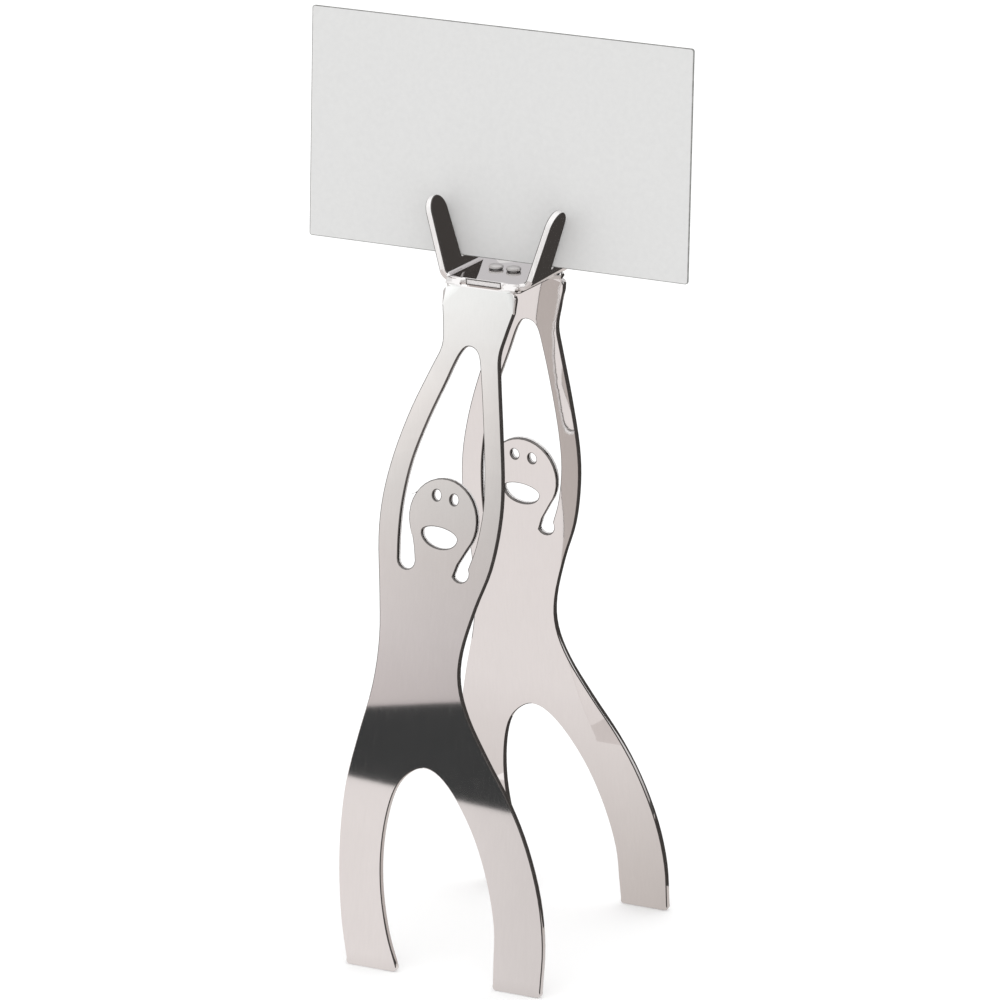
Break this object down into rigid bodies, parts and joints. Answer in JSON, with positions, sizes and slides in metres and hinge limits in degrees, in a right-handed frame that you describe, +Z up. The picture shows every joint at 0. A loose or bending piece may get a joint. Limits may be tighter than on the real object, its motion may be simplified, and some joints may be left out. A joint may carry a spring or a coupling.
{
  "type": "buffet card holder",
  "caption": "Sheet-steel buffet card holder: dancing figures lean together as an A-frame under a top plate whose forked uprights hold a removable blank card.",
  "frame": {"origin": "on the table, midway between the figures and below the middle of the card", "axes": "+X to the right along the card, +Y from the front figure to the rear one, +Z up"},
  "size_m": [0.09, 0.0632, 0.2014],
  "materials": {
    "polished_steel": "polished stainless sheet",
    "rivet_steel": "satin",
    "card_stock": "smooth matt white card"
  },
  "bodies": {
    "holder": {"front_figure": "polished_steel", "rear_figure": "polished_steel", "left_rivet": "rivet_steel", "right_rivet": "rivet_steel"},
    "card": {"card": "card_stock"}
  },
  "joints": [
    {"name": "card_lift", "type": "slide", "parent": "holder", "child": "card", "axis": [0, 0.0382, 0.9993], "range_m": [0, 0.04]}
  ]
}
